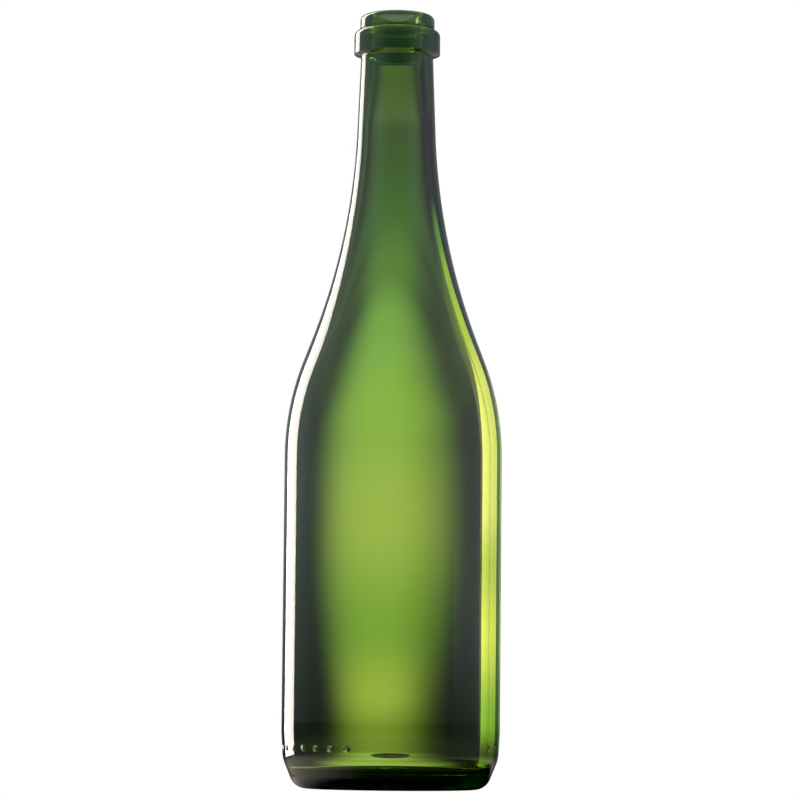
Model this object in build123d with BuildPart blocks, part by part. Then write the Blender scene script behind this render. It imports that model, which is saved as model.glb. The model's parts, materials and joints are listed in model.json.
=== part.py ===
from build123d import *
from math import asin, atan, cos, tan
import os

# Sparkling wine bottle, 0.75 litre, in green glass, with a crown finish and a shallow punt.
# Lengths are in millimetres. +Z is up along the bottle's axis, the origin is on that axis in the
# plane that the bottle stands on, and the front faces -Y.

# Overall, and the standard bore that the mouth is built round
bottle_height = 300.0
bore_radius = 9.0
bore_land_length = 20.0

# Locking ring for a crown cap, with the sealing lip on top and a groove below
lip_wall = 5.45
ring_length = 5.5
lip_outer_rounding = 2.5
lip_inner_chamfer = 0.8
groove_length = 0.6
groove_depth = 0.55

# Collar that a wire hood grips under, with its cone and root fillet on the neck
collar_overhang = 2.27
collar_length = 9.4
collar_rounding_share = 0.85
collar_cone_drop = 1.1
collar_root_rounding = 1.3

# Neck and shoulder, which meet the body in two long arcs with a straight slope between them
mouth_wall = 5.0
neck_length = 73.1
neck_root_radius = 16.93
shoulder_rise = 64.9
neck_sweep_share = 0.583
shoulder_share = 0.27

# Body and heel
body_radius = 41.9
panel_bottom_height = 22.0
heel_lead_in = 0.6
heel_knuckle_height = 11.5
heel_knuckle_rounding = 12.0
heel_inset = 4.7
heel_corner_rounding = 6.5

# Underside: the bearing ring and the punt
bearing_width = 7.1
bearing_inner_rounding = 2.5
punt_depth = 8.0

# Glass thickness, and the shape of the floor inside
body_wall = 4.0
heel_wall = 4.6
neck_root_wall = 3.9
neck_wall = 3.9
neck_bore_depth = 42.0
cavity_sweep_share = 0.87
floor_wall = 5.5
floor_dome_radius = 77.0
floor_skirt = 8.7
trough_rounding = 4.0

# Glass, for the printed figures
glass_grams_per_cubic_mm = 0.0025
cubic_mm_per_litre = 1e6


def corner_rounding(reach, turn):
    """Radius of the arc that starts this far from a corner that turns by this angle."""
    return reach / tan(turn / 2)


# The mouth, from the lip down, and the radii that follow the bore
ring_radius = bore_radius + lip_wall
groove_radius = ring_radius - groove_depth
collar_radius = ring_radius + collar_overhang
neck_top_radius = bore_radius + mouth_wall
ring_bottom_height = bottle_height - ring_length
collar_top_height = ring_bottom_height - groove_length
collar_bottom_height = collar_top_height - collar_length
collar_root_height = collar_bottom_height - collar_cone_drop
collar_top_rounding = collar_rounding_share * (collar_radius - groove_radius)

# A straight slope would join the neck's root to the shoulder's corner. The shoulder's arc starts a
# share of the slope away from its corner, and the neck's sweep ends a share of the neck above its own.
neck_root_height = collar_bottom_height - neck_length
shoulder_corner_height = neck_root_height - shoulder_rise
slope_drop = body_radius - neck_root_radius
slope_length = (slope_drop ** 2 + shoulder_rise ** 2) ** 0.5
slope_angle = atan(slope_drop / shoulder_rise)
neck_rise = collar_root_height - neck_root_height
neck_draft = atan((neck_root_radius - neck_top_radius) / neck_rise)
shoulder_rounding = corner_rounding(shoulder_share * slope_length, slope_angle)
neck_sweep_rounding = corner_rounding(neck_sweep_share * neck_rise, slope_angle - neck_draft)

# The heel draws in below the body, and the punt is one shallow dome inside the bearing ring.
heel_knuckle_radius = body_radius - heel_lead_in
heel_corner_radius = heel_knuckle_radius - heel_inset
bearing_inner_radius = heel_corner_radius - bearing_width
punt_dome_radius = (bearing_inner_radius ** 2 + punt_depth ** 2) / (2 * punt_depth)

# The floor inside is a wider dome, whose skirt runs straight on down to the trough at the heel.
trough_corner_radius = heel_knuckle_radius - heel_wall
floor_dome_reach = trough_corner_radius - floor_skirt
floor_crown_height = punt_depth + floor_wall
floor_edge_angle = asin(floor_dome_reach / floor_dome_radius)
floor_edge_height = floor_crown_height - floor_dome_radius * (1 - cos(floor_edge_angle))
trough_corner_height = floor_edge_height - floor_skirt * tan(floor_edge_angle)

# The walls inside follow the outside at the thickness of the glass, up to the land of the bore.
cavity_radius = body_radius - body_wall
cavity_root_radius = neck_root_radius - neck_root_wall
cavity_shoulder_height = shoulder_corner_height - body_wall * tan(slope_angle / 2)
cavity_root_height = neck_root_height - neck_root_wall * tan((slope_angle + neck_draft) / 2)
cavity_drop = cavity_radius - cavity_root_radius
cavity_rise = cavity_root_height - cavity_shoulder_height
cavity_slope_length = (cavity_drop ** 2 + cavity_rise ** 2) ** 0.5
cavity_slope_angle = atan(cavity_drop / cavity_rise)
neck_bore_height = bottle_height - neck_bore_depth
neck_bore_radius = neck_root_radius - (neck_bore_height - neck_root_height) * tan(neck_draft) - neck_wall
cavity_neck_rise = neck_bore_height - cavity_root_height
cavity_draft = atan((cavity_root_radius - neck_bore_radius) / cavity_neck_rise)
cavity_shoulder_rounding = corner_rounding(shoulder_share * cavity_slope_length, cavity_slope_angle)
cavity_sweep_rounding = corner_rounding(
    cavity_sweep_share * cavity_neck_rise, cavity_slope_angle - cavity_draft
)

os.makedirs("parts", exist_ok=True)

# Space inside the glass, from the domed floor up the walls to the mouth
with BuildPart() as cavity:
    with BuildSketch(Plane.XZ):
        with BuildLine():
            RadiusArc((0, floor_crown_height), (floor_dome_reach, floor_edge_height), floor_dome_radius)
            FilletPolyline(
                (floor_dome_reach, floor_edge_height),
                (trough_corner_radius, trough_corner_height),
                (cavity_radius, panel_bottom_height),
                (cavity_radius, cavity_shoulder_height),
                (cavity_root_radius, cavity_root_height),
                (neck_bore_radius, neck_bore_height),
                (bore_radius, bottle_height - bore_land_length),
                (bore_radius, bottle_height),
                (0, bottle_height),
                radius=[trough_rounding, 0, cavity_shoulder_rounding, cavity_sweep_rounding, 0, 0, 0],
            )
            Line((0, bottle_height), (0, floor_crown_height))
        make_face()
    revolve(axis=Axis.Z)

with BuildPart() as bottle:
    # Outside of the bottle, from the punt round the heel and up to the lip
    with BuildSketch(Plane.XZ):
        with BuildLine():
            RadiusArc((0, punt_depth), (bearing_inner_radius, 0), punt_dome_radius)
            FilletPolyline(
                (bearing_inner_radius, 0),
                (heel_corner_radius, 0),
                (heel_knuckle_radius, heel_knuckle_height),
                (body_radius, panel_bottom_height),
                (body_radius, shoulder_corner_height),
                (neck_root_radius, neck_root_height),
                (neck_top_radius, collar_root_height),
                (collar_radius, collar_bottom_height),
                (collar_radius, collar_top_height),
                (groove_radius, collar_top_height),
                (groove_radius, ring_bottom_height),
                (ring_radius, ring_bottom_height),
                (ring_radius, bottle_height),
                (0, bottle_height),
                radius=[
                    heel_corner_rounding,
                    heel_knuckle_rounding,
                    0,
                    shoulder_rounding,
                    neck_sweep_rounding,
                    collar_root_rounding,
                    0,
                    collar_top_rounding,
                    0,
                    0,
                    0,
                    lip_outer_rounding,
                ],
            )
            Line((0, bottle_height), (0, punt_depth))
        make_face()
    revolve(axis=Axis.Z)
    add(cavity.part, mode=Mode.SUBTRACT)

    # Eased edges where the bore meets the sealing lip and where the punt meets the bearing ring
    circles = bottle.edges().filter_by(GeomType.CIRCLE).group_by(Axis.Z)
    chamfer(circles[-1].sort_by(SortBy.RADIUS)[0], lip_inner_chamfer)
    fillet(circles[0].sort_by(SortBy.RADIUS)[0], bearing_inner_rounding)

bottle.part.label = "bottle"
export_step(bottle.part, "parts/bottle.step")
print("holds", cavity.part.volume / cubic_mm_per_litre, "litres to the brim")
print("weighs", bottle.part.volume * glass_grams_per_cubic_mm, "grams")
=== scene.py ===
# %% [markdown]
# A sparkling wine bottle, bare and empty, is one blown piece of green glass.
# A reader who is learning Blender can follow here how a lathe outline becomes glass. The outline is
# drawn with a ruler and a compass and spun round its axis. Then it gets the marks that a mould and a
# breath of air leave on it, a coloured body, and light from behind, as in a studio.
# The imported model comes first, because it holds the true sizes that everything else follows.

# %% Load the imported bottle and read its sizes
import json
from math import asin, atan, atan2, ceil, cos, hypot, log, pi, radians, sin, sqrt, tan

import bpy
from mathutils import Matrix, Vector


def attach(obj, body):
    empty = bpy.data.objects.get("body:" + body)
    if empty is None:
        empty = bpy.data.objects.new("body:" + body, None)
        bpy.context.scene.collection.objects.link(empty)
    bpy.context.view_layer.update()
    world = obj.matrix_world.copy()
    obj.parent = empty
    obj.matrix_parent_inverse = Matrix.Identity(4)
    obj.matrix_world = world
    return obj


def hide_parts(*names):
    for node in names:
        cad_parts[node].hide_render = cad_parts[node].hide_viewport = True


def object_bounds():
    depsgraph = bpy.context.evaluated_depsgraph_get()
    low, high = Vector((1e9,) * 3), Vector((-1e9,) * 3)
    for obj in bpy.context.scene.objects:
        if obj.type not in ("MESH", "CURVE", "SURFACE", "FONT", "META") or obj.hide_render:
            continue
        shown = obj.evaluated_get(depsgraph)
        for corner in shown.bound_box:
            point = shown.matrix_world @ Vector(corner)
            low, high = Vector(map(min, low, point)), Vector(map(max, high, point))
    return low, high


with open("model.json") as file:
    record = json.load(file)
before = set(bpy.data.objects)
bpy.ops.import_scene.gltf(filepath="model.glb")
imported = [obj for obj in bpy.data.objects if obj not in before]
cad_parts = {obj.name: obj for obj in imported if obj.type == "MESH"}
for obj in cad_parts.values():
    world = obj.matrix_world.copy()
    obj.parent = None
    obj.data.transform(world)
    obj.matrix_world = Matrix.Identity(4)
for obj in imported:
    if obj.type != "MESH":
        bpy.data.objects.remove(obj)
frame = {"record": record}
cad_low, cad_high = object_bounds()
mm = 0.001

mounts = {mount["name"]: mount.get("dims", {}) for mount in frame["record"]["mounts"]}
bottle_height = cad_high.z
body_radius = cad_high.x
bore_radius = mounts["mouth_bore"]["r_mm"] * mm
ring_radius = mounts["crown_ring"]["r_mm"] * mm
collar_radius = mounts["hood_collar"]["r_mm"] * mm
print(f"bottle {bottle_height / mm:.1f} mm tall, {2 * body_radius / mm:.1f} mm across")
print(f"mouth {2 * bore_radius / mm:.1f} mm, ring {2 * ring_radius / mm:.1f} mm across")

# %% [markdown]
# The camera stands well back with a long lens, close to the table, and tips up a little, so that the
# mouth is seen from below and the floor of the bottle from just above. A long lens keeps the two sides
# of the body parallel. It also leans by about half a degree, as the bottle in the picture does.

# %% Camera
camera_distance = 1400 * mm
camera_height = 31.8 * mm
camera_tip = radians(4.81)
camera_lean = radians(0.55)
picture_width = 800
focal_pixels = 3634
axis_pixel = 393.8

camera_data = bpy.data.cameras.new("camera")
camera_data.lens = focal_pixels / picture_width * camera_data.sensor_width
camera = bpy.data.objects.new("camera", camera_data)
camera_turn = atan((picture_width / 2 - axis_pixel) / focal_pixels)
turn, tip, lean = [
    Matrix.Rotation(angle, 3, axis)
    for angle, axis in ((-camera_turn, "Z"), (pi / 2 + camera_tip, "X"), (camera_lean, "Z"))
]
camera.rotation_euler = (turn @ tip @ lean).to_euler()
camera.location = (0, -camera_distance, camera_height)
bpy.context.scene.collection.objects.link(camera)
bpy.context.scene.camera = camera
print(f"lens {camera_data.lens:.1f} mm, {camera_distance:.2f} m away")

# %% [markdown]
# The glass is one closed skin: up the outside, over the lip, down the bore and along the inside to
# the domed floor. On a lathe piece the whole form is in its outline, so that is drawn first, as a
# chain of points in the plane of X and Z. A straight run is an extruded point. A round is a point
# swung about the round's centre by the spin operator, which gives a true arc.

# %% A ruler and a compass for drawing the outline
longest_step = 4 * mm
shortest_step = 0.08 * mm
arc_step = radians(4)


def start_outline(name, radius, height):
    """One point in edit mode, made from a small plane that is merged at its middle."""
    bpy.ops.object.select_all(action="DESELECT")
    bpy.ops.mesh.primitive_plane_add(size=mm, location=(radius, 0, height))
    piece = bpy.context.object
    piece.name = piece.data.name = name
    bpy.ops.object.transform_apply(location=True, rotation=True, scale=True)
    bpy.ops.object.mode_set(mode="EDIT")
    bpy.ops.mesh.select_all(action="SELECT")
    bpy.ops.mesh.merge(type="CENTER")
    return piece


def draw_line(start, end):
    """Extrudes the last point from start to end in equal steps."""
    reach = end - start
    steps = ceil(reach.length / longest_step)
    for _ in range(steps):
        move = {"value": (reach.x / steps, 0, reach.y / steps)}
        bpy.ops.mesh.extrude_region_move(TRANSFORM_OT_translate=move)


def draw_arc(start, end, centre, step=longest_step):
    """Swings the last point from start to end about a centre, along the shorter way round."""
    first, last = start - centre, end - centre
    swing = atan2(first.x * last.y - first.y * last.x, first.dot(last))
    length = abs(swing) * first.length
    finest = min(ceil(abs(swing) / arc_step), ceil(length / shortest_step))
    bpy.ops.mesh.spin(
        steps=max(finest, ceil(length / step)), angle=swing, center=(centre.x, 0, centre.y),
        axis=(0, 1, 0), use_auto_merge=False,
    )


def draw_run(corners):
    """Straight lines between corners of radius, height and rounding, with an arc at each rounding."""
    points = [Vector(corner[:2]) for corner in corners]
    here = points[0]
    for before, corner, after, (_, _, rounding) in zip(points, points[1:], points[2:], corners[1:]):
        arriving, leaving = (corner - before).normalized(), (after - corner).normalized()
        side = 1 if arriving.x * leaving.y - arriving.y * leaving.x > 0 else -1
        reach = rounding * tan(arriving.angle(leaving) / 2)
        arc_start = corner - arriving * reach
        draw_line(here, arc_start)
        here = corner + leaving * reach
        if rounding:
            centre = arc_start + side * rounding * Vector((-arriving.y, arriving.x))
            draw_arc(arc_start, here, centre)
    draw_line(here, points[-1])


# %% [markdown]
# The sizes of the outside come first. The crown ring and the collar are what a cap and a wire hood
# grip. A slope with a long arc at each end makes the shoulder and the neck. The frame gives the
# height and the large radii, and the edges that the model leaves sharp get a small melt radius here.

# %% Sizes of the outside
fire_polish = 0.25 * mm
ring_length = 5.5 * mm
lip_rounding = 2.5 * mm
groove_length = 0.6 * mm
groove_depth = 0.55 * mm
collar_length = 9.4 * mm
collar_rounding_share = 0.85
collar_cone_drop = 1.1 * mm
collar_root_rounding = 1.3 * mm
mouth_wall = 5 * mm
neck_length = 73.1 * mm
neck_root_radius = 16.93 * mm
shoulder_rise = 64.9 * mm
shoulder_share = 0.27
neck_sweep_share = 0.583

groove_radius = ring_radius - groove_depth
collar_rounding = collar_rounding_share * (collar_radius - groove_radius)
neck_top_radius = bore_radius + mouth_wall
ring_bottom = bottle_height - ring_length
collar_top = ring_bottom - groove_length
collar_bottom = collar_top - collar_length
collar_root = collar_bottom - collar_cone_drop
neck_root = collar_bottom - neck_length
shoulder_corner = neck_root - shoulder_rise
slope = Vector((body_radius - neck_root_radius, shoulder_rise))
slope_angle = atan(slope.x / slope.y)
neck_rise = collar_root - neck_root
neck_draft = atan((neck_root_radius - neck_top_radius) / neck_rise)
shoulder_rounding = shoulder_share * slope.length / tan(slope_angle / 2)
neck_rounding = neck_sweep_share * neck_rise / tan((slope_angle - neck_draft) / 2)
print(f"shoulder arc {shoulder_rounding / mm:.0f} mm, neck arc {neck_rounding / mm:.0f} mm")

# %% [markdown]
# The heel draws in to a narrow bearing ring round a shallow punt, so that the bottle stands on a ring
# of glass and doesn't rock. The punt is one arc. The round inside the bearing ring touches both that
# arc and the table, and its centre is worked out from the two.

# %% Sizes of the heel, the bearing ring and the punt
panel_bottom = 22 * mm
heel_lead_in = 0.6 * mm
heel_height = 11.5 * mm
heel_rounding = 12 * mm
heel_inset = 4.7 * mm
heel_corner_rounding = 6.5 * mm
bearing_width = 7.1 * mm
bearing_rounding = 2.5 * mm
punt_depth = 8 * mm

heel_radius = body_radius - heel_lead_in
heel_corner_radius = heel_radius - heel_inset
bearing_inner_radius = heel_corner_radius - bearing_width
punt_curve = (bearing_inner_radius ** 2 + punt_depth ** 2) / (2 * punt_depth)
punt_centre = Vector((0, punt_depth - punt_curve))
bearing_centre = Vector((
    sqrt((punt_curve + bearing_rounding) ** 2 - (bearing_rounding - punt_centre.y) ** 2),
    bearing_rounding,
))
punt_edge = punt_centre.lerp(bearing_centre, punt_curve / (punt_curve + bearing_rounding))
print(f"bearing ring from {bearing_centre.x / mm:.1f} to {heel_corner_radius / mm:.1f} mm")

# %% [markdown]
# No mould touches the inside. The bore is straight where a stopper sits, then it widens into the neck,
# and from there the wall keeps nearly one thickness down to the trough round the domed floor. A
# Solidify modifier gives one thickness only, so the inside is drawn as a line of its own.

# %% Sizes of the inside
lip_chamfer = 0.8 * mm
bore_land_length = 20 * mm
wall = 4 * mm
neck_wall = 3.9 * mm
neck_bore_depth = 42 * mm
cavity_sweep_share = 0.87
floor_thickness = 5.5 * mm
floor_curve = 77 * mm
floor_skirt = 8.7 * mm
heel_wall = 4.6 * mm
trough_rounding = 4 * mm

bore_land = bottle_height - bore_land_length
cavity_radius = body_radius - wall
cavity_root_radius = neck_root_radius - neck_wall
cavity_shoulder = shoulder_corner - wall * tan(slope_angle / 2)
cavity_root = neck_root - neck_wall * tan((slope_angle + neck_draft) / 2)
cavity_slope = Vector((cavity_radius - cavity_root_radius, cavity_root - cavity_shoulder))
cavity_angle = atan(cavity_slope.x / cavity_slope.y)
neck_bore = bottle_height - neck_bore_depth
neck_bore_radius = neck_root_radius - (neck_bore - neck_root) * tan(neck_draft) - neck_wall
cavity_neck_rise = neck_bore - cavity_root
cavity_draft = atan((cavity_root_radius - neck_bore_radius) / cavity_neck_rise)
cavity_shoulder_rounding = shoulder_share * cavity_slope.length / tan(cavity_angle / 2)
cavity_neck_rounding = cavity_sweep_share * cavity_neck_rise / tan((cavity_angle - cavity_draft) / 2)
trough_radius = heel_radius - heel_wall
floor_reach = trough_radius - floor_skirt
floor_crown = punt_depth + floor_thickness
floor_centre = Vector((0, floor_crown - floor_curve))
floor_edge_angle = asin(floor_reach / floor_curve)
floor_edge = floor_crown - floor_curve * (1 - cos(floor_edge_angle))
trough_height = floor_edge - floor_skirt * tan(floor_edge_angle)
print(f"walls {wall / mm:.1f} mm, floor {floor_thickness / mm:.1f} mm")
print(f"trough inside the heel at {trough_height / mm:.1f} mm")

# %% [markdown]
# The outline runs from the middle of the punt to the middle of the floor. The two domes get closer
# points than the rest, because the marks on them are small.

# %% Draw the outline
dome_step = 1 * mm

glass = start_outline("bottle_glass", 0, punt_depth)
draw_arc(Vector((0, punt_depth)), punt_edge, punt_centre, dome_step)
draw_arc(punt_edge, Vector((bearing_centre.x, 0)), bearing_centre)
draw_run([
    (bearing_centre.x, 0, 0),
    (heel_corner_radius, 0, heel_corner_rounding),
    (heel_radius, heel_height, heel_rounding),
    (body_radius, panel_bottom, 0),
    (body_radius, shoulder_corner, shoulder_rounding),
    (neck_root_radius, neck_root, neck_rounding),
    (neck_top_radius, collar_root, collar_root_rounding),
    (collar_radius, collar_bottom, fire_polish),
    (collar_radius, collar_top, collar_rounding),
    (groove_radius, collar_top, 0),
    (groove_radius, ring_bottom, 0),
    (ring_radius, ring_bottom, fire_polish),
    (ring_radius, bottle_height, lip_rounding),
    (bore_radius + lip_chamfer, bottle_height, fire_polish),
    (bore_radius, bottle_height - lip_chamfer, fire_polish),
    (bore_radius, bore_land, 0),
    (neck_bore_radius, neck_bore, 0),
    (cavity_root_radius, cavity_root, cavity_neck_rounding),
    (cavity_radius, cavity_shoulder, cavity_shoulder_rounding),
    (cavity_radius, panel_bottom, 0),
    (trough_radius, trough_height, trough_rounding),
    (floor_reach, floor_edge, 0),
])
draw_arc(Vector((floor_reach, floor_edge)), Vector((0, floor_crown)), floor_centre, dome_step)
bpy.ops.object.mode_set(mode="OBJECT")
print(f"{len(glass.data.vertices)} points in the outline")

# %% [markdown]
# The mould gives the outside its true form, but only air presses the inside against it, so the inner
# face rolls a little. The domes carry a fine stipple from the metal of the mould. Both are marked on
# the outline now, as vertex groups with a weight at each point, because there each point is met once
# and spinning copies the weights all round.

# %% Mark the faces on the outline
blown_from, blown_full = 10 * mm, 30 * mm
blown_fading, blown_to = 170 * mm, 262 * mm
stipple_full, stipple_to = 27 * mm, 31 * mm
dome_margin = 1 * mm


def ease(value, start, end):
    """0 before start, 1 after end, and a smooth climb between them."""
    share = min(1, max(0, (value - start) / (end - start)))
    return share * share * (3 - 2 * share)


outline = [vertex.co.copy() for vertex in glass.data.vertices]
lip = max(range(len(outline)), key=lambda i: outline[i].z - outline[i].x)
outer_face, inner_face, stippled = [
    glass.vertex_groups.new(name=name) for name in ("outer_face", "inner_face", "stippled")
]
for i, point in enumerate(outline):
    if i > lip:
        rolling = ease(point.z, blown_from, blown_full) * (1 - ease(point.z, blown_fading, blown_to))
        inner_face.add([i], rolling, "REPLACE")
    elif heel_height < point.z < collar_root:
        outer_face.add([i], 1, "REPLACE")
    if point.z < floor_crown + dome_margin and point.x < stipple_to:
        stippled.add([i], 1 - ease(point.x, stipple_full, stipple_to), "REPLACE")
print(f"outside {lip} points, inside {len(outline) - lip}")

# %% [markdown]
# Spinning the outline once round the upright axis makes the glass, as blowing it into a turned mould
# would. The first and last columns meet, and both ends of the outline lie on the axis, so doubled
# points are merged there. After that the faces are made to point outwards, which glass depends on:
# the renderer bends light by the side of the skin that it enters.

# %% Spin the outline into a bottle
columns = 240
merge_distance = 0.01 * mm

bpy.ops.object.mode_set(mode="EDIT")
bpy.ops.mesh.select_all(action="SELECT")
bpy.ops.mesh.spin(steps=columns, angle=2 * pi, center=(0, 0, 0), axis=(0, 0, 1))
bpy.ops.mesh.select_all(action="SELECT")
bpy.ops.mesh.remove_doubles(threshold=merge_distance)
bpy.ops.mesh.normals_make_consistent(inside=False)
bpy.ops.object.mode_set(mode="OBJECT")
print(f"{len(glass.data.polygons)} faces round the axis")

# %% [markdown]
# A mould opens in two halves, and where they meet it leaves a hair of raised glass up each side. A
# second hair runs round the heel, where the halves close on the bottom plate. The faces there are far
# wider than a hair, so the bisect operator cuts a narrow strip to each side of it first. The same
# operator cuts rows of faces round the heel for the small marks that come next.

# %% Cut finer faces at the mould seam and round the heel
seam_azimuth = pi / 2
seam_half_width = 0.4 * mm
plate_height, plate_half_width = 4.5 * mm, 0.15 * mm
dot_height = 15.5 * mm
dot_radius = 1.25 * mm
dot_rows = 6

bpy.ops.object.mode_set(mode="EDIT")
for side in (-1, 1):
    angle = seam_azimuth + side * seam_half_width / body_radius
    bpy.ops.mesh.select_all(action="SELECT")
    bpy.ops.mesh.bisect(plane_co=(0, 0, 0), plane_no=(cos(angle), sin(angle), 0))
row_pitch = 2 * dot_radius / (dot_rows - 1)
levels = [dot_height + row * row_pitch for row in range(-dot_rows // 2, dot_rows // 2 + 1)]
levels += [plate_height + side * plate_half_width for side in (-1, 0, 1)]
for level in levels:
    bpy.ops.mesh.select_all(action="SELECT")
    bpy.ops.mesh.bisect(plane_co=(0, 0, level), plane_no=(0, 0, 1))
bpy.ops.object.mode_set(mode="OBJECT")
print(f"{len(glass.data.polygons)} faces after the cuts")

# %% [markdown]
# Bottle moulds have a row of small drilled pits low on the body, which come out as raised dots on the
# glass. Here they are evenly spaced along the left side, with one on the right. The faces under
# each dot are subdivided, and a smooth hump is then pushed out of them with a vertex group.

# %% Raise the dots on the heel
first_dot, dot_pitch, left_dots = radians(-23.3), radians(-9.6), 7
right_dot = radians(73)
subdivided_radii = 1.7
hump_power = 0.75

dot_azimuths = [first_dot + i * dot_pitch for i in range(left_dots)] + [right_dot]
dot_centres = [Vector((body_radius * sin(a), -body_radius * cos(a), dot_height)) for a in dot_azimuths]


def is_outside(point):
    """Whether a point low on the body lies on the outer face."""
    return hypot(point.x, point.y) > heel_radius - wall / 2


bpy.ops.object.mode_set(mode="EDIT")
bpy.ops.mesh.select_all(action="DESELECT")
bpy.ops.mesh.select_mode(type="FACE")
bpy.ops.object.mode_set(mode="OBJECT")
for face in glass.data.polygons:
    nearest = min((face.center - centre).length for centre in dot_centres)
    face.select = is_outside(face.center) and nearest < subdivided_radii * dot_radius
bpy.ops.object.mode_set(mode="EDIT")
bpy.ops.mesh.subdivide(number_cuts=2, smoothness=1)
bpy.ops.mesh.select_mode(type="VERT")
bpy.ops.object.mode_set(mode="OBJECT")

raised_dots = glass.vertex_groups.new(name="raised_dots")
for vertex in glass.data.vertices:
    if abs(vertex.co.z - dot_height) < dot_radius and is_outside(vertex.co):
        nearest = min((vertex.co - centre).length for centre in dot_centres)
        if nearest < dot_radius:
            hump = (1 - (nearest / dot_radius) ** 2) ** hump_power
            raised_dots.add([vertex.index], hump, "REPLACE")
print(f"{len(dot_azimuths)} dots, {len(glass.data.polygons)} faces")

# %% [markdown]
# Only the middle of each strip that was cut for a seam is its crest. The points there get a weight,
# and those beside them stay where they are.

# %% Mark the crests of the two seams
crest_share = 0.25
least_weight = 0.5
on_crest = 0

seam = glass.vertex_groups.new(name="seam")
plate_seam = glass.vertex_groups.new(name="plate_seam")
outer_index = glass.vertex_groups["outer_face"].index
for vertex in glass.data.vertices:
    across = vertex.co.x * cos(seam_azimuth) + vertex.co.y * sin(seam_azimuth)
    on_outside = any(g.group == outer_index and g.weight > least_weight for g in vertex.groups)
    if on_outside and abs(across) < crest_share * seam_half_width:
        seam.add([vertex.index], 1, "REPLACE")
        on_crest += 1
    on_plate_edge = abs(vertex.co.z - plate_height) < crest_share * plate_half_width
    if on_plate_edge and hypot(*vertex.co.xy) > bearing_centre.x:
        plate_seam.add([vertex.index], 1, "REPLACE")
        on_crest += 1
print(f"{on_crest} points on the crests")

# %% [markdown]
# A Displace modifier moves each point along its normal by its weight. For the rolling inner face and
# for the stipple it also reads a cloud noise, which is as large as the waves in the real surface.

# %% Push the marks out of the surface
dot_rise = 0.35 * mm
seam_rise, plate_seam_rise = 0.02 * mm, 0.04 * mm
roll_height, roll_length = 0.03 * mm, 45 * mm
stipple_height, stipple_length = 0.10 * mm, 1.6 * mm
sharp_edge = radians(35)


def displace(name, group, push, wave=None):
    """Pushes a vertex group out by a fixed height, or by a cloud noise of that height either way."""
    modifier = glass.modifiers.new(name, "DISPLACE")
    modifier.vertex_group = group
    modifier.strength = push if wave is None else 2 * push
    modifier.mid_level = 0
    if wave is not None:
        modifier.mid_level = 0.5
        modifier.texture = bpy.data.textures.new(name, "CLOUDS")
        modifier.texture.noise_scale = wave
        modifier.texture_coords = "LOCAL"
    bpy.ops.object.modifier_apply(modifier=name)


displace("dots", "raised_dots", dot_rise)
displace("seam", "seam", seam_rise)
displace("plate_seam", "plate_seam", plate_seam_rise)
displace("blown_wall", "inner_face", roll_height, wave=roll_length)
displace("stipple", "stippled", stipple_height, wave=stipple_length)
bpy.ops.object.shade_smooth_by_angle(angle=sharp_edge)
glass.vertex_groups.clear()
triangles = sum(len(face.vertices) - 2 for face in glass.data.polygons)
print(f"{triangles} triangles, widest {max(v.co.x for v in glass.data.vertices) / mm:.2f} mm")

# %% [markdown]
# Bottle glass is soda-lime glass with chromium and iron in it. The colour sits in the body of the
# glass and not on its face, so thick glass is darker and greener than thin glass, and the base is
# nearly black. An absorbing volume does this by itself: each colour of light has its own depth, worked
# out from how much of it comes through two walls.

# %% Colours and a helper for nodes
def linear(hex_colour):
    """The linear red, green and blue of an sRGB colour written as six hex digits."""
    values = [int(hex_colour[i:i + 2], 16) / 255 for i in (0, 2, 4)]
    return [v / 12.92 if v <= 0.04045 else ((v + 0.055) / 1.055) ** 2.4 for v in values]


def add_node(tree, kind, links=None, values=None, **settings):
    """Adds a node with its settings, the values of its sockets and its links from other nodes."""
    node = tree.nodes.new(kind)
    for name, setting in settings.items():
        setattr(node, name, setting)
    for socket, value in (values or {}).items():
        node.inputs[socket].default_value = value
    for socket, source in (links or {}).items():
        tree.links.new(source, node.inputs[socket])
    return node


seen_through_two_walls = "B0DC53"
strongest_absorption = 320
glass_colour = [
    max(0, 1 + log(share) / (2 * wall) / strongest_absorption)
    for share in linear(seen_through_two_walls)
]
print("absorbing colour", [round(share, 3) for share in glass_colour])

# %% [markdown]
# The skin is clear and glossy, with soda-lime glass's IOR of 1.52. It isn't perfectly flat: chilled
# iron leaves it with ripples about as long as a finger is wide, too low to model but enough to make a
# reflected edge waver. Where the bottle slides on conveyors, on its bearing ring, the gloss is ground
# off.

# %% Green bottle glass, blown in an iron mould
soda_lime_ior = 1.52
ripple_length, ripple_height = 18 * mm, 0.004 * mm
ground_height = 0.25 * mm
ground_roughness = 0.35

bottle_green = bpy.data.materials.new("green_soda_lime_glass")
bottle_green.use_nodes = True
tree = bottle_green.node_tree
tree.nodes.clear()
place = add_node(tree, "ShaderNodeTexCoord")
height = add_node(tree, "ShaderNodeSeparateXYZ", {"Vector": place.outputs["Object"]})
ripples = add_node(
    tree, "ShaderNodeTexNoise", {"Vector": place.outputs["Object"]},
    {"Scale": 1 / ripple_length, "Detail": 1.0},
)
surface = add_node(
    tree, "ShaderNodeBump", {"Height": ripples.outputs["Fac"]},
    {"Strength": 1.0, "Distance": ripple_height},
)
ground = add_node(
    tree, "ShaderNodeMapRange", {"Value": height.outputs["Z"]},
    {"From Min": 0, "From Max": ground_height, "To Min": ground_roughness, "To Max": 0},
)
skin = add_node(
    tree, "ShaderNodeBsdfPrincipled",
    {"Normal": surface.outputs["Normal"], "Roughness": ground.outputs["Result"]},
    {"Base Color": (1, 1, 1, 1), "IOR": soda_lime_ior, "Transmission Weight": 1.0},
)
body = add_node(
    tree, "ShaderNodeVolumeAbsorption", None,
    {"Color": (*glass_colour, 1), "Density": strongest_absorption},
)
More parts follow.
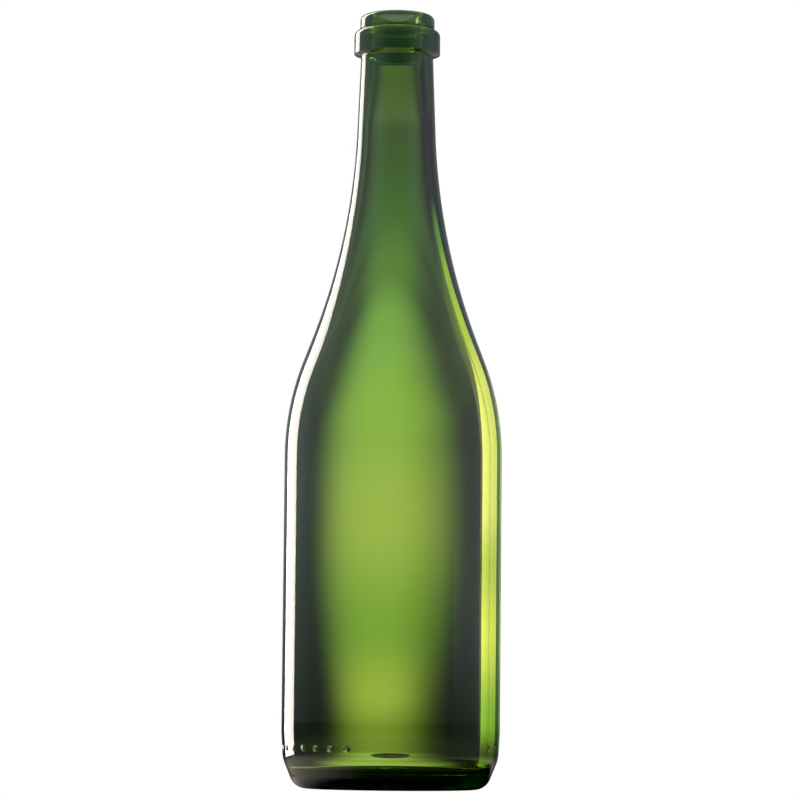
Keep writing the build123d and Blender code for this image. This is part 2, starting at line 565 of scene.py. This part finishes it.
add_node(
    tree, "ShaderNodeOutputMaterial", {"Surface": skin.outputs["BSDF"], "Volume": body.outputs["Volume"]}
)
glass.data.materials.append(bottle_green)
print(f"{len(tree.nodes)} nodes in {bottle_green.name}")

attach(glass, "root")
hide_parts("bottle")

# %% [markdown]
# Glass is lit by what stands round it, so the stage is a set of cards. Each is a plane that gives off
# light, whose place is in its mesh, so that the pattern on it is written in real millimetres. Each is
# met only by the rays that it is for: those that pass through the glass, or those that its face
# reflects. Its back is clear, so that it doesn't show when the bottle is looked at from the other side.
# The floor and the backdrop are plain white, and only the camera meets them.

# %% Helpers for cards
every_ray = ("camera", "diffuse", "glossy", "transmission", "volume_scatter", "shadow")


def show_only_to(card, seen_by):
    """Lets only the named kinds of ray meet a card."""
    for ray in every_ray:
        setattr(card, "visible_" + ray, ray in seen_by)
    print(f"{card.name} is met by {' and '.join(seen_by)} rays")


def put_card(name, width, height, place, turn, seen_by):
    """A plane of a size in metres, for the named kinds of ray."""
    bpy.ops.object.select_all(action="DESELECT")
    bpy.ops.mesh.primitive_plane_add(size=1, location=place, rotation=turn)
    card = bpy.context.object
    card.name = card.data.name = name
    card.scale = (width, height, 1)
    bpy.ops.object.transform_apply(location=True, rotation=True, scale=True)
    show_only_to(card, seen_by)
    return card


def give_light(card, hex_colour, strength):
    """A light on the front of a card. Returns its tree, its emission and what mixes it with clear."""
    material = bpy.data.materials.new(card.name)
    material.use_nodes = True
    tree = material.node_tree
    tree.nodes.clear()
    light = add_node(
        tree, "ShaderNodeEmission", None, {"Color": (*linear(hex_colour), 1), "Strength": strength}
    )
    side = add_node(tree, "ShaderNodeNewGeometry")
    clear = add_node(tree, "ShaderNodeBsdfTransparent")
    front = add_node(
        tree, "ShaderNodeMixShader",
        {0: side.outputs["Backfacing"], 1: light.outputs["Emission"], 2: clear.outputs["BSDF"]},
    )
    add_node(tree, "ShaderNodeOutputMaterial", {"Surface": front.outputs["Shader"]})
    card.data.materials.append(material)
    return tree, light, front


def grade(tree, height, low, high, stops):
    """A colour that changes from low, at 0 mm, to high, at the last stop.

    A stop is a height in mm, a power and a colour.
    """
    climb = add_node(tree, "ShaderNodeMapRange", {"Value": height}, {"From Min": low, "From Max": high})
    column = add_node(tree, "ShaderNodeValToRGB", {"Fac": climb.outputs["Result"]})
    column.color_ramp.interpolation = "EASE"
    for _ in stops[2:]:
        column.color_ramp.elements.new(0)
    for element, (stop, power, hex_colour) in zip(column.color_ramp.elements, stops):
        element.position = stop / stops[-1][0]
        element.color = (*[power * value for value in linear(hex_colour)], 1)
    return column.outputs["Color"]


# %% Floor
floor_width = 40

floor = put_card("floor", floor_width, floor_width, (0, 0, 0), (0, 0, 0), ["camera"])
give_light(floor, "FFFFFF", 1.0)

# %% [markdown]
# A glowing card well behind the bottle is what makes the glass shine green. Its light is a soft upright
# column, a little left of the axis. It is brightest and warmest behind the body, and wider and cooler
# up the neck. Each level of the light is written as the height on the bottle where the camera sees
# it, and perspective carries it back to the card. Light that the glass has mirrored on its way to the
# card counts for little, so that the domed floor stays dark. The card is dark beside the column and
# light again at its far ends, which only a side view meets.

# %% Glow card behind the bottle
card_back = 1000 * mm
glow_card_width = 2400 * mm
glow_left = 18 * mm
glow_sharpness = 2.4
share_mirrored = 0.12
glow_top = 329 * mm
glow_stops = (
    (0, 0.36, "FFFFD8"), (20, 0.44, "FFFFD8"), (36, 0.80, "FFF4E6"), (60, 0.60, "ECFFE3"),
    (105, 0.86, "FFF2FF"), (150, 0.74, "EEFBFF"), (180, 0.60, "DCF9FF"), (200, 0.41, "C4E4FF"),
    (222, 0.345, "A6CCFF"), (250, 0.31, "A9B9FF"), (300, 0.46, "AEB4FF"), (329, 0.38, "AEB4FF"),
)
column_widths = (
    (20, 58), (95, 102), (145, 95), (165, 80), (190, 76), (210, 125), (234, 330), (329, 330),
)
dark_to, side_from = 700 * mm, 950 * mm


def behind_bottle(height):
    """The height on the card that the camera sees at a height on the bottle's axis."""
    return camera_height + (height - camera_height) * (1 + card_back / camera_distance)


card_low, card_high = behind_bottle(0), behind_bottle(glow_top)
glow = put_card(
    "glow_card", glow_card_width, card_high - card_low, (0, card_back, (card_low + card_high) / 2),
    (pi / 2, 0, 0), ["transmission"],
)
tree, light, _ = give_light(glow, "FFFFFF", 1.0)
place = add_node(tree, "ShaderNodeTexCoord")
split = add_node(tree, "ShaderNodeSeparateXYZ", {"Vector": place.outputs["Object"]})
off_centre = add_node(tree, "ShaderNodeMath", {0: split.outputs["X"]}, {1: glow_left}, operation="ADD")
distance = add_node(tree, "ShaderNodeMath", {0: off_centre.outputs[0]}, operation="ABSOLUTE")
width_stops = [(height, width * mm, "FFFFFF") for height, width in column_widths]
width = grade(tree, split.outputs["Z"], card_low, card_high, width_stops)
share = add_node(tree, "ShaderNodeMath", {0: distance.outputs[0], 1: width}, operation="DIVIDE")
power = add_node(tree, "ShaderNodeMath", {0: share.outputs[0]}, {1: glow_sharpness}, operation="POWER")
faded = add_node(tree, "ShaderNodeMath", {0: power.outputs[0]}, {1: -1}, operation="MULTIPLY")
bell = add_node(tree, "ShaderNodeMath", {0: faded.outputs[0]}, operation="EXPONENT")
side = add_node(
    tree, "ShaderNodeMapRange", {"Value": distance.outputs[0]},
    {"From Min": dark_to, "From Max": side_from}, interpolation_type="SMOOTHSTEP",
)
lit = add_node(
    tree, "ShaderNodeMath", {0: bell.outputs[0], 1: side.outputs["Result"]}, operation="MAXIMUM"
)
path = add_node(tree, "ShaderNodeLightPath")
straight = add_node(
    tree, "ShaderNodeMapRange", {"Value": path.outputs["Glossy Depth"]},
    {"To Min": 1, "To Max": share_mirrored},
)
strength = add_node(
    tree, "ShaderNodeMath", {0: lit.outputs[0], 1: straight.outputs["Result"]}, operation="MULTIPLY"
)
tree.links.new(strength.outputs[0], light.inputs["Strength"])
colour = grade(tree, split.outputs["Z"], card_low, card_high, glow_stops)
tree.links.new(colour, light.inputs["Color"])

# %% [markdown]
# A small dark blue flag stands close behind the mouth, from under the collar to the lip. The neck
# below it and the open mouth above it stay bright, and the rings between them turn dark.

# %% Flag behind the mouth
flag_back = 20 * mm
flag_width = 120 * mm
flag_under_collar, flag_over_lip = 0.6 * mm, 0.8 * mm

flag_low, flag_high = collar_bottom - flag_under_collar, bottle_height + flag_over_lip
mouth_flag = put_card(
    "mouth_flag", flag_width, flag_high - flag_low, (0, flag_back, (flag_low + flag_high) / 2),
    (pi / 2, 0, 0), ["transmission"],
)
give_light(mouth_flag, "1A3A70", 1.0)

# %% [markdown]
# A tall, narrow softbox behind on the left draws the white line down the left edge. It works only by
# reflection there. It reaches a little below the table, so that the line runs on into the heel.

# %% Strip softbox
strip_angle = radians(47.4)
strip_distance = 455 * mm
strip_width = 212 * mm
strip_low, strip_high = -35 * mm, 900 * mm
strip_level = 7.6

strip_left, strip_back = strip_distance * sin(strip_angle), strip_distance * cos(strip_angle)
strip = put_card(
    "strip_softbox", strip_width, strip_high - strip_low,
    (-strip_left, strip_back, (strip_low + strip_high) / 2), (pi / 2, 0, strip_angle), ["glossy"],
)
give_light(strip, "FFFBEC", strip_level)

# %% [markdown]
# On the right, the thick edge of the glass shows a bright yellow-green line. Two pinkish cards make it.
# One stands behind the bottle, beside what shows through the middle, and is turned a little away from
# the axis, so that it can't be seen from the left side. The other stands level with the axis and is
# cut to the bottle's own outline, as photographers do for dark glass, so the same ruler and compass
# draw it. A narrow black flag between that card and the glass keeps a dark rim outside the line. The
# light fades out above the shoulder. It reaches only what has crossed four faces of glass at most,
# because a line that is mirrored across the bottle would show again on the left.

# %% Edge cards on the right
edge_gap = 0.05 * mm
edge_flag_width = 2.45 * mm
edge_card_width = 40 * mm
back_card_left, back_card_back = 40.4 * mm, 20 * mm
back_card_turn = radians(12)
most_faces_crossed = 4
edge_top = 232 * mm
edge_level, back_level = 1.0, 1.3
edge_stops = (
    (8, 0.0, "FFFFB4"), (27, 0.85, "F8FFC8"), (60, 2.4, "FFCCD0"), (86, 1.7, "FFD2D2"),
    (112, 3.6, "E1AEFF"), (158, 3.6, "E1AEFF"), (184, 1.5, "FFDCE0"), (200, 0.95, "FFF0D0"),
    (216, 0.4, "D0FFE6"), (232, 0.0, "D0FFE6"),
)


def cut_card(name, gap, width):
    """A card level with the axis that faces the front. Its left side follows the outline at a gap."""
    card = start_outline(name, heel_corner_radius, 0)
    draw_run([
        (heel_corner_radius, 0, 0),
        (heel_radius, heel_height, heel_rounding),
        (body_radius, panel_bottom, 0),
        (body_radius, shoulder_corner, shoulder_rounding),
        (neck_root_radius, neck_root, neck_rounding),
        (neck_top_radius, collar_root, 0),
    ])
    bpy.ops.mesh.select_all(action="SELECT")
    bpy.ops.transform.translate(value=(gap, 0, 0))
    bpy.ops.mesh.extrude_region_move(TRANSFORM_OT_translate={"value": (width, 0, 0)})
    bpy.ops.mesh.select_all(action="SELECT")
    bpy.ops.mesh.flip_normals()
    bpy.ops.object.mode_set(mode="OBJECT")
    print(f"{name} faces {card.data.polygons[0].normal.y:.0f} along Y")
    show_only_to(card, ["transmission"])
    return card


edge_flag = cut_card("edge_flag", edge_gap, edge_flag_width)
give_light(edge_flag, "000000", 0.0)
edge_card = cut_card("edge_card", edge_gap + edge_flag_width, edge_card_width)
back_card = put_card(
    "back_card", edge_card_width, edge_top,
    (
        back_card_left + edge_card_width / 2 * cos(back_card_turn),
        back_card_back + edge_card_width / 2 * sin(back_card_turn),
        edge_top / 2,
    ),
    (pi / 2, 0, back_card_turn), ["transmission"],
)
for card, level in ((edge_card, edge_level), (back_card, back_level)):
    tree, light, _ = give_light(card, "FFFFFF", level)
    place = add_node(tree, "ShaderNodeTexCoord")
    split = add_node(tree, "ShaderNodeSeparateXYZ", {"Vector": place.outputs["Object"]})
    colour = grade(tree, split.outputs["Z"], 0, edge_top, edge_stops)
    path = add_node(tree, "ShaderNodeLightPath")
    strength = add_node(
        tree, "ShaderNodeMapRange", {"Value": path.outputs["Transmission Depth"]},
        {
            "From Min": most_faces_crossed, "From Max": most_faces_crossed + 1,
            "To Min": level, "To Max": 0,
        },
    )
    tree.links.new(colour, light.inputs["Color"])
    tree.links.new(strength.outputs["Result"], light.inputs["Strength"])

# %% [markdown]
# A large, weak softbox at the right lays a grey veil over the right third of the front. It is dim near
# the table and towards its far end.

# %% Side softbox
side_distance = 600 * mm
side_front, side_back = -270 * mm, 800 * mm
side_low, side_high = -50 * mm, 1450 * mm
side_stops = ((0, 0.22, "E8F0F4"), (90, 0.9, "E8F0F4"), (240, 0.9, "E8F0F4"), (340, 0.8, "E8F0F4"))
bright_to, dim_from, dim_level = 150 * mm, 420 * mm, 0.5

side_box = put_card(
    "side_softbox", side_back - side_front, side_high - side_low,
    (side_distance, (side_front + side_back) / 2, (side_low + side_high) / 2),
    (pi / 2, 0, -pi / 2), ["glossy"],
)
tree, light, _ = give_light(side_box, "FFFFFF", 1.0)
place = add_node(tree, "ShaderNodeTexCoord")
split = add_node(tree, "ShaderNodeSeparateXYZ", {"Vector": place.outputs["Object"]})
colour = grade(tree, split.outputs["Z"], 0, side_stops[-1][0] * mm, side_stops)
level = add_node(
    tree, "ShaderNodeMapRange", {"Value": split.outputs["Y"]},
    {"From Min": bright_to, "From Max": dim_from, "To Min": 1, "To Max": dim_level},
)
tree.links.new(colour, light.inputs["Color"])
tree.links.new(level.outputs["Result"], light.inputs["Strength"])

# %% [markdown]
# The bottle's own shade lies on the table, a little to the front and right. It keeps the base dark, and
# it fades to nothing at its rim.

# %% Shade under the base
shade_radius, shade_core = 62 * mm, 46 * mm
shade_centre = (18 * mm, -10 * mm, -0.3 * mm)
shade_corners = 64

bpy.ops.object.select_all(action="DESELECT")
bpy.ops.mesh.primitive_circle_add(
    vertices=shade_corners, radius=shade_radius, fill_type="NGON", location=shade_centre
)
shade = bpy.context.object
shade.name = shade.data.name = "base_shade"
bpy.ops.object.transform_apply(location=True, rotation=True, scale=True)
show_only_to(shade, ["glossy", "transmission"])
tree, _, front = give_light(shade, "000000", 0.0)
place = add_node(tree, "ShaderNodeTexCoord")
reach = add_node(
    tree, "ShaderNodeVectorMath", {0: place.outputs["Object"]}, {1: shade_centre}, operation="DISTANCE"
)
fade = add_node(
    tree, "ShaderNodeMapRange", {"Value": reach.outputs["Value"]},
    {"From Min": shade_core, "From Max": shade_radius, "To Min": 0, "To Max": 1},
    interpolation_type="SMOOTHSTEP",
)
tree.links.new(fade.outputs["Result"], front.inputs[0])

# %% [markdown]
# The room is what is left for the glass to show. Its walls are a cool grey that lies as a veil on the
# sides of the bottle, paler higher up. They are darker behind the bottle, which keeps the edges of the
# glass dark against the white, and darkest in front, which keeps its middle clear. The table is warm
# and lit from the left, and the glass shows it when it is looked at from above. What shines through
# the glass is dimmer than what it reflects, so that the green stays deep. Each change is placed by
# the direction from the bottle to it, as a share along X, Y or Z.

# %% Room
wall_colour, table_colour = "DCEBEC", "F2E4D6"
lit_from_behind, lit_from_front = (0.45, 0.75), (-0.5, -0.95)
level_behind, level_in_front = 0.4, 0.3
wall_from, wall_to = -0.02, 0.06
wall_at_table, wall_above = 0.15, 0.9
share_shining_through = 0.15
table_from, table_to = -0.06, -0.25
table_left, table_right = -0.7, 0.2
table_level_left, table_level_right = 0.75, 0.5

world = bpy.data.worlds.new("studio")
bpy.context.scene.world = world
world.use_nodes = True
tree = world.node_tree
tree.nodes.clear()
path = add_node(tree, "ShaderNodeLightPath")
place = add_node(tree, "ShaderNodeTexCoord")
split = add_node(tree, "ShaderNodeSeparateXYZ", {"Vector": place.outputs["Generated"]})
behind, in_front = [
    add_node(
        tree, "ShaderNodeMapRange", {"Value": split.outputs["Y"]},
        {"From Min": lit_to, "From Max": dark_from, "To Min": 1, "To Max": level},
        interpolation_type="SMOOTHSTEP",
    )
    for (lit_to, dark_from), level in (
        (lit_from_behind, level_behind), (lit_from_front, level_in_front)
    )
]
upper = add_node(
    tree, "ShaderNodeMapRange", {"Value": split.outputs["Z"]},
    {"From Min": wall_from, "From Max": wall_to, "To Min": wall_at_table, "To Max": wall_above},
)
through = add_node(
    tree, "ShaderNodeMapRange", {"Value": path.outputs["Is Transmission Ray"]},
    {"To Min": 1, "To Max": share_shining_through},
)
walls = upper
for factor in (behind, in_front, through):
    walls = add_node(
        tree, "ShaderNodeMath", {0: walls.outputs[0], 1: factor.outputs["Result"]}, operation="MULTIPLY"
    )
down = add_node(
    tree, "ShaderNodeMapRange", {"Value": split.outputs["Z"]},
    {"From Min": table_from, "From Max": table_to, "To Min": 0, "To Max": 1},
    interpolation_type="SMOOTHSTEP",
)
leftward = add_node(
    tree, "ShaderNodeMapRange", {"Value": split.outputs["X"]},
    {
        "From Min": table_left, "From Max": table_right,
        "To Min": table_level_left, "To Max": table_level_right,
    },
)
table = add_node(
    tree, "ShaderNodeMath", {0: down.outputs["Result"], 1: leftward.outputs["Result"]},
    operation="MULTIPLY",
)
wall_light = add_node(
    tree, "ShaderNodeBackground", {"Strength": walls.outputs[0]}, {"Color": (*linear(wall_colour), 1)}
)
table_light = add_node(
    tree, "ShaderNodeBackground", {"Strength": table.outputs[0]}, {"Color": (*linear(table_colour), 1)}
)
room = add_node(
    tree, "ShaderNodeAddShader",
    {0: wall_light.outputs["Background"], 1: table_light.outputs["Background"]},
)
white = add_node(tree, "ShaderNodeBackground", None, {"Color": (1, 1, 1, 1), "Strength": 1.0})
mix = add_node(
    tree, "ShaderNodeMixShader",
    {0: path.outputs["Is Camera Ray"], 1: room.outputs["Shader"], 2: white.outputs["Background"]},
)
add_node(tree, "ShaderNodeOutputWorld", {"Surface": mix.outputs["Shader"]})
print(f"{len(tree.nodes)} nodes in the room")

# %% [markdown]
# Light crosses four faces of glass on its way through the body and many more in the base, so it is
# followed for more bounces than usual. The plain view transform keeps white paper white.

# %% Render settings
bounces_through, bounces_off = 32, 16
brightest_sample = 10

scene = bpy.context.scene
scene.view_settings.view_transform = "Standard"
scene.cycles.max_bounces = bounces_through
scene.cycles.transmission_bounces = bounces_through
scene.cycles.glossy_bounces = bounces_off
scene.cycles.sample_clamp_indirect = brightest_sample
print(f"{bounces_through} bounces through glass, {bounces_off} off it")
